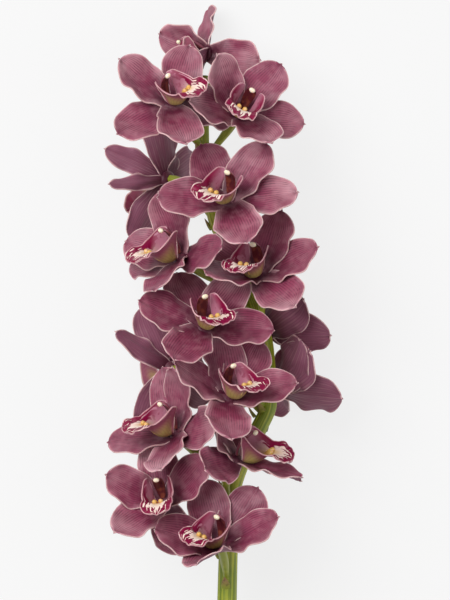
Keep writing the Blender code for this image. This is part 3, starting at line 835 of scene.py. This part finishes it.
def stem_material(stem):
    """The green skin of the stem: smooth and waxy, with fine fibres that run along it as lighter and darker
    streaks."""
    made, shader, add = new_material(
        "stem_skin_waxy", Roughness=0.42, Subsurface_Weight=0.08, Subsurface_Scale=0.002)
    along, cosine, sine, kind = form_values(add)
    fibres = add("noise", add("vector", cosine, sine, along), 9, 3.0)
    cloud = add("noise", add("place"), blotches(22.2))
    light = add("add", add("multiply", fibres, 0.7), add("multiply", cloud, 0.3))
    base = add("mix", add("step", light, 0.38, 0.62), stem.dark, stem.light)
    dull = add("multiply", kind, add("step", along, 0.1, 0.9, 0.3, 0.9))
    base = add("mix", dull, base, stem.stalk)
    return finished(made, shader, base, add("bump", fibres, 0.0002, 0.4))


def pith_material(stem):
    """The cut end: wet pale pith, dotted with the ends of its fibres."""
    made, shader, add = new_material("pith_freshly_cut", Roughness=0.5)
    dots = add("step", add("noise", add("place"), blotches(0.667), 1.0), 0.52, 0.62, 0.0, 0.6)
    return finished(made, shader, add("mix", dots, stem.pith, stem.dark))


def bract_material(stem):
    """A bract: dry and papery, brown at its tip and greener where it is still alive."""
    made, shader, add = new_material("bract_dry_papery", Roughness=0.75)
    along = form_values(add)[0]
    base = add("mix", add("step", along, 0.1, 0.8), stem.stalk, stem.bract)
    spots = add("step", add("noise", add("place"), blotches(3.33)), 0.45, 0.7, 0.0, 0.6)
    return finished(made, shader, add("mix", spots, base, stem.withered))


class ORCHID_OT_petals(bpy.types.Operator):
    """Adds the petals and sepals of every bloom"""

    bl_idname = "orchid.petals"
    bl_label = "Petals"

    def tepal(self, petals, bloom, number, side, finishes):
        pose = Pose(**{**USUAL[side], **bloom.poses.get(side, {})})
        reach = petals.reach / MM * bloom.size
        half_width = petals.half_width / MM * bloom.size
        phase = (number * PHASE_STEPS[0] + list(SIDES).index(side) * PHASE_STEPS[1]) % 1
        place = partial(tepal_points, side=SIDES[side], pose=pose, reach=reach, half_width=half_width)
        obj, v, u = new_sheet(side, petals.columns, petals.rows)
        u = 1 - (1 - u) ** ROW_CROWDING
        hand = np.sign(v)

        def waves(count, shift):
            return np.sin(2 * np.pi * (count * u + shift))

        half = half_width * pose.width * tepal_outline(u)
        wave = np.abs(v) ** 2.5 * waves(EDGE_WAVES, phase + 0.3 * hand)
        wave += FINE_SHARE * np.abs(v) ** 5 * waves(FINE_WAVES, 2.7 * phase - 0.2 * hand)
        wave *= petals.wave / MM * smooth(u, (0, 0.25, 0.85, 1), (0, 1, 1, 0.5))
        groove = np.exp(-((v * half / GROOVE_HALF_WIDTH) ** 2)) * smooth(u, (0, 0.2, 0.8, 1), (0, 1, 1, 2.4))
        roll = ramp(np.abs(v), 0.72, 1.05) ** 1.5 * smooth(u, (0, 0.3, 1), (0, 1, 0.6))
        swell = SWELL * waves(1.1, 0.8 * v + phase) * smooth(u, (0, 0.3, 1), (0, 1, 0.4))
        fold = FOLD * (phase - 0.35) * ramp(np.abs(v), 0.25, 1.0)
        fold = fold * smooth(u, (0, 0.4, 0.8, 1), (0, 0.4, 1, 0.6))
        uneven = UNEVENNESS * waves(1.4, 3 * phase + hand / np.pi) * ramp(u, 0.15, 0.5)
        aside = v * (1 + uneven)
        lifted = wave + swell + fold - petals.groove / MM * groove - petals.roll / MM * roll
        points = place(u, aside) + normals_of(place, np.minimum(u, TIP_AT), aside) * lifted[:, None]
        ahead = place(np.ones_like(u), 0 * v) - place(np.full_like(u, POINT_FROM), 0 * v)
        pointed = POINT_STRETCH * np.exp(-((v / POINT_HALF_WIDTH) ** 2)) * ramp(u, 0.86, 1.0)
        points += ahead * pointed[:, None]
        take_shape(obj, above_surface(in_stem(bloom, points), petals.thickness / MM / 2))
        line = np.linspace(0.03, 1, 70)
        rim = half_width * pose.width * tepal_outline(line)
        edge = np.concatenate([np.stack([sign * rim, line * reach], axis=1) for sign in (-1, 1)])
        margin = margin_of(v * half, u * reach, edge)
        note_form(obj, u, (v + 1) / 2, np.minimum(margin / MARGIN_FULL, 1), phase)
        return thicken(dress(obj, *finishes), petals.thickness, 1)

    def core(self, bloom, finishes):
        """The round middle that the petals grow from."""
        obj, ball = new_ball("core", 20, 12)
        radii = np.array([CORE_RADIUS, CORE_RADIUS, (CORE_FRONT - CORE_BACK) / 2])
        middle = np.array([0, 0, (CORE_FRONT + CORE_BACK) / 2])
        take_shape(obj, in_stem(bloom, ball * radii + middle))
        # At 0 along, the core takes the painted shade of the petals' roots
        note_form(obj, 0.0, 0.5, 1.0, 0.5)
        return dress(obj, *finishes)

    def execute(self, context):
        petals = context.scene.orchid_petals
        finishes = (petal_face_material(petals), petal_back_material(petals))
        for number, bloom in enumerate(BLOOMS, 1):
            pieces = [self.core(bloom, finishes)]
            pieces += [self.tepal(petals, bloom, number, side, finishes) for side in SIDES]
            settle(f"petals_{number:02d}", pieces, f"bloom_{number:02d}")
        return {"FINISHED"}


class ORCHID_OT_lips(bpy.types.Operator):
    """Adds the lip of every bloom, with its two golden ridges"""

    bl_idname = "orchid.lips"
    bl_label = "Lips"

    def blade(self, lip, bloom, number, finishes):
        obj, t, s = new_sheet("blade", lip.columns, lip.rows)
        place = partial(lip_points, size=bloom.size)
        half = smooth(s, *LIP_HALF_WIDTH)
        x, y = t * half, (s - MIDLOBE_AT) * LIP_LENGTH
        turn = np.arctan2(y, x)
        ruffle = sum(share * np.sin(waves * turn + shift * number) for waves, shift, share in RUFFLES)
        ruffle *= lip.ruffle / MM * ramp(np.hypot(x, y) / MIDLOBE_RADIUS, 0.3, 1.0) * ramp(s, 0.6, 0.7)
        flare = FLARE * np.sin(2 * np.pi * FLARE_WAVES * s + number)
        flare *= ramp(np.abs(t), 0.7, 1.0) * ramp(-s, -0.62, -0.5)
        points = place(s, t) + normals_of(place, s, t) * (ruffle + flare)[:, None]
        take_shape(obj, in_stem(bloom, points))
        line = np.linspace(0.03, 1, 120)
        rim = smooth(line, *LIP_HALF_WIDTH)
        edge = [np.stack([sign * rim, line * LIP_LENGTH], axis=1) for sign in (-1, 1)]
        edge.append(np.stack([np.linspace(-3, 3, 9), np.full(9, LIP_LENGTH)], axis=1))
        margin = margin_of(x, s * LIP_LENGTH, np.concatenate(edge))
        note_form(obj, s, (t + 1) / 2, np.minimum(margin / MARGIN_FULL, 1), number * PHASE_STEPS[0] % 1)
        return thicken(dress(obj, *finishes), lip.thickness, 1)

    def ridge(self, bloom, sign, finish):
        """One of the two plump ridges that run down the middle of the lip."""
        share = np.linspace(0, 1, RIDGE_RINGS)
        s = RIDGE_FROM + RIDGE_SPAN * share
        aside = sign * smooth(share, *RIDGE_ASIDE) / smooth(s, *LIP_HALF_WIDTH)
        place = partial(lip_points, size=bloom.size)
        lifted = np.interp(share, (0, 1), RIDGE_HEIGHTS)
        centres = place(s, aside) + normals_of(place, s, aside) * lifted[:, None]

        def radius_at(along, angle):
            return bloom.size * smooth(along, *RIDGE_RADIUS)

        return rod("ridge", in_stem(bloom, centres), radius_at, RIDGE_SIDES, 1.0, finish)

    def execute(self, context):
        lip = context.scene.orchid_lip
        finishes = (lip_face_material(lip), lip_back_material(lip))
        golden = callus_material(lip)
        for number, bloom in enumerate(BLOOMS, 1):
            pieces = [self.blade(lip, bloom, number, finishes)]
            pieces += [self.ridge(bloom, sign, golden) for sign in (-1, 1)]
            settle(f"lip_{number:02d}", pieces, f"bloom_{number:02d}_lip")
        return {"FINISHED"}


class ORCHID_OT_columns(bpy.types.Operator):
    """Adds the column of every bloom, with its cap"""

    bl_idname = "orchid.columns"
    bl_label = "Columns"

    def arch(self, bloom, finish):
        """The rod of the column: round on top, hollow underneath, and wider towards its end."""
        obj, ball = new_ball("arch", 28, 40)
        s = 1 - np.arccos(np.clip(ball[:, 2], -1, 1)) / np.pi
        angle = np.arctan2(ball[:, 1], ball[:, 0])
        pole = np.hypot(ball[:, 0], ball[:, 1]) < 1e-4
        reach, rise, slope = column_arch(s)
        rounded = np.sin(np.pi * np.clip(s, 0.02, 0.98)) ** 0.15
        wide = np.where(pole, 0, smooth(s, *COLUMN_HALF_WIDTH) * rounded)
        high = np.where(pole, 0, smooth(s, *COLUMN_HALF_HEIGHT))
        up = high * np.sin(angle)
        hollow = HOLLOW_DEPTH * np.exp(-((np.cos(angle) / HOLLOW_HALF_WIDTH) ** 2)) * ramp(s, 0.1, 0.4)
        up = np.where(up < 0, up * (COLUMN_FLATNESS - hollow), up)
        y = COLUMN_ROOT[0] + rise + up * np.cos(slope)
        z = COLUMN_ROOT[1] + reach - up * np.sin(slope)
        take_shape(obj, in_stem(bloom, np.stack([wide * np.cos(angle), y, z], axis=-1) * bloom.size))
        note_form(obj, s, 0.5 + 0.5 * np.sin(angle), np.abs(np.cos(angle)), 1.0)
        return dress(obj, finish)

    def cap(self, bloom, finish):
        """The cap: a little helmet with a seam down its middle."""
        obj, ball = new_ball("cap", 20, 14)
        across_seam = np.exp(-((ball[:, 0] / CAP_SEAM_HALF_WIDTH) ** 2))
        seam = 1 - CAP_SEAM_DEPTH * across_seam * ramp(ball[:, 2], -0.2, 0.4)
        reach, rise, _ = column_arch(1.0)
        middle = np.array([0, COLUMN_ROOT[0] + rise - CAP_DROP, COLUMN_ROOT[1] + reach + CAP_REACH])
        take_shape(obj, in_stem(bloom, (ball * seam[:, None] * CAP_RADII + middle) * bloom.size))
        note_form(obj, 1.0, 0.5, 1.0, 1.0)
        return dress(obj, finish)

    def execute(self, context):
        column = context.scene.orchid_column
        maroon, cream = column_material(column), cap_material(column)
        for number, bloom in enumerate(BLOOMS, 1):
            pieces = [self.arch(bloom, maroon), self.cap(bloom, cream)]
            settle(f"column_{number:02d}", pieces, f"bloom_{number:02d}_column")
        return {"FINISHED"}


class ORCHID_OT_stem(bpy.types.Operator):
    """Adds the stem, with the stalk and the bract of every bloom"""

    bl_idname = "orchid.stem"
    bl_label = "Stem"

    def main_stem(self, finish, pith):
        last = len(STEM_ROUTE) - 1
        knots = np.arange(last + 1)
        at = np.linspace(0, last, STEM_RINGS)
        line = np.stack([smooth(at, knots, STEM_ROUTE[:, k]) for k in range(3)], axis=1)

        def radius_at(share, angle):
            radius = smooth(share * last, knots, STEM_ROUTE[:, 3])
            y = smooth(share * last, knots, STEM_ROUTE[:, 1])
            for ring in SHEATH_RINGS:
                radius = radius + SHEATH_RING_HEIGHT * np.exp(-(((y - ring) / SHEATH_RING_HALF_WIDTH) ** 2))
            return radius + STEM_RIB_DEPTH * np.cos(STEM_RIBS * angle + STEM_RIB_TURN * share)

        obj = rod("main_stem", line + np.array(MIDDLE), radius_at, STEM_SIDES, 0.0, finish, pith)
        points = points_of(obj)
        points[:, 2] = np.maximum(points[:, 2], 0)
        take_shape(obj, points / MM)
        for face in obj.data.polygons:
            if face.normal.y < -0.9 and face.center.y < CAD_BOX[0].y + 2 * MM:
                face.material_index = 1
        return obj

    def stalk(self, bloom, finish):
        turned, moved = frame_of(bloom)
        facing = Vector(turned[:, 2])
        end = Vector(moved) + facing * (CORE_BACK - STALK_GAP)
        start = Vector([np.interp(bloom.node, STEM_ROUTE[:, 1], STEM_ROUTE[:, k]) for k in range(3)]) + MIDDLE
        span = (end - start).length
        outward = Vector((end.x - start.x, 0, end.z - start.z)).normalized()
        lead = outward * STALK_OUTWARD + Vector((0, STALK_UPWARD, 0))
        pulls = [start, start + lead * span * STALK_PULLS[0], end - facing * span * STALK_PULLS[1], end]
        t = np.linspace(0, STALK_STRAIGHT_FROM, STALK_RINGS - 2)[:, None]
        shares = ((1 - t) ** 3, 3 * (1 - t) ** 2 * t, 3 * (1 - t) * t**2, t**3)
        line = sum(share * np.array(pull) for share, pull in zip(shares, pulls))
        line = np.concatenate([line, [np.array(end - facing)], [np.array(end)]])

        def radius_at(share, angle):
            radii = (STALK_RADIUS + 0.5, STALK_RADIUS, OVARY_RADIUS, OVARY_RADIUS)
            radius = smooth(share, (0, 0.3, 0.75, 1), radii)
            return radius + STALK_RIB_DEPTH * np.cos(STALK_RIBS * angle) * ramp(share, 0.2, 0.6)

        obj = rod("stalk", line, radius_at, STALK_SIDES, 1.0, finish)
        return obj, start, lead.normalized()

    def bract(self, start, lead, radius, finish):
        """A dry scale that clasps the foot of a stalk on its outer side."""
        obj, across, along = new_sheet("bract", 10, 12)
        outward = np.array(Vector((lead.x, 0, lead.z)).normalized())
        heading = np.array(lead)
        aside = np.cross(heading, outward)
        aside /= np.linalg.norm(aside)
        below = np.cross(heading, aside)
        if below[1] > 0:
            below = -below
        half = BRACT_HALF_WIDTH * (1 - along**1.6) + 0.15
        wrapped = np.radians(BRACT_WRAP) * across
        root = np.array(start) + outward * (radius - 1.0) - np.array([0, 1.0, 0])
        points = (
            root + heading * (along * BRACT_LENGTH)[:, None] + aside * (half * np.sin(wrapped))[:, None]
            + below * (half * np.cos(wrapped) * 0.9 + 0.6 * along)[:, None])
        take_shape(obj, points)
        note_form(obj, along, (across + 1) / 2, 1 - np.abs(across), 1.0)
        return thicken(dress(obj, finish), BRACT_THICKNESS * MM, 0)

    def execute(self, context):
        stem = context.scene.orchid_stem
        green, pith, dry = stem_material(stem), pith_material(stem), bract_material(stem)
        pieces = [self.main_stem(green, pith)]
        for bloom in BLOOMS:
            stalk, start, lead = self.stalk(bloom, green)
            radius = float(np.interp(bloom.node, STEM_ROUTE[:, 1], STEM_ROUTE[:, 3]))
            pieces += [stalk, self.bract(start, lead, radius, dry)]
        settle("stem_with_stalks", pieces, "stem")
        return {"FINISHED"}


class ORCHID_OT_stage(bpy.types.Operator):
    """Adds the pale floor, the soft lights and the camera that looks down"""

    bl_idname = "orchid.stage"
    bl_label = "Stage"

    def soft_light(self, name, place, size, power, aim):
        lamp = new_object(bpy.ops.object.light_add, name, type="AREA", location=place)
        lamp.data.size = size
        lamp.data.energy = power
        lamp.rotation_mode = "QUATERNION"
        lamp.rotation_quaternion = (Vector(aim) - Vector(place)).to_track_quat("-Z", "Y")

    def execute(self, context):
        stage = context.scene.orchid_stage
        floor = new_object(bpy.ops.mesh.primitive_plane_add, "floor", size=FLOOR_SIZE)
        # Matt acrylic that is lit evenly from below, so that what lies on it throws only faint, soft shadows
        made, shader, _ = new_material(
            "floor_backlit_acrylic", Roughness=0.9, Specular_IOR_Level=0.1, Emission_Strength=stage.glow)
        shader.inputs["Base Color"].default_value = (*[FLOOR_SHADE * part for part in stage.floor], 1)
        shader.inputs["Emission Color"].default_value = (*stage.floor, 1)
        floor.data.materials.append(made)
        middle = (MIDDLE.x * MM, MIDDLE.y * MM, AIM_HEIGHT)
        for name, (place, size) in LAMPS.items():
            self.soft_light(f"{name}_light", place, size, getattr(stage, name), middle)
        world = bpy.data.worlds.new("studio")
        world.use_nodes = True
        sky = world.node_tree.nodes["Background"]
        sky.inputs["Color"].default_value = (1, 1, 1, 1)
        sky.inputs["Strength"].default_value = stage.sky
        context.scene.world = world
        context.scene.view_settings.view_transform = "Standard"
        camera = new_object(
            bpy.ops.object.camera_add, "camera_above", rotation=(0, 0, 0),
            location=(middle[0], middle[1], stage.camera_height))
        camera.data.sensor_width = SENSOR_WIDTH
        camera.data.lens = SENSOR_WIDTH * (stage.camera_height - AIM_HEIGHT) / stage.view_height
        camera.data.clip_end = 50
        context.scene.camera = camera
        return {"FINISHED"}


class ORCHID_PT_panel(bpy.types.Panel):
    """Lists what can be changed, and the steps that build the stem"""

    bl_idname = "ORCHID_PT_panel"
    bl_label = "Cymbidium stem"
    bl_space_type = "VIEW_3D"
    bl_region_type = "UI"
    bl_category = "Orchid"

    def draw(self, context):
        for operator, name, _ in STEPS:
            box = self.layout.box()
            settings = getattr(context.scene, name)
            for setting in settings.__annotations__:
                box.prop(settings, setting)
            box.operator(operator.bl_idname)


STEPS = (
    (ORCHID_OT_petals, "orchid_petals", PetalSettings),
    (ORCHID_OT_lips, "orchid_lip", LipSettings),
    (ORCHID_OT_columns, "orchid_column", ColumnSettings),
    (ORCHID_OT_stem, "orchid_stem", StemSettings),
    (ORCHID_OT_stage, "orchid_stage", StageSettings),
)


def register():
    for operator, name, group in STEPS:
        bpy.utils.register_class(group)
        setattr(bpy.types.Scene, name, PointerProperty(type=group))
        bpy.utils.register_class(operator)
    bpy.utils.register_class(ORCHID_PT_panel)


def unregister():
    bpy.utils.unregister_class(ORCHID_PT_panel)
    for operator, name, group in STEPS:
        bpy.utils.unregister_class(operator)
        delattr(bpy.types.Scene, name)
        bpy.utils.unregister_class(group)


def main():
    register()
    bpy.ops.orchid.petals()
    bpy.ops.orchid.lips()
    bpy.ops.orchid.columns()
    bpy.ops.orchid.stem()
    bpy.ops.orchid.stage()


if __name__ == "__main__":
    main()
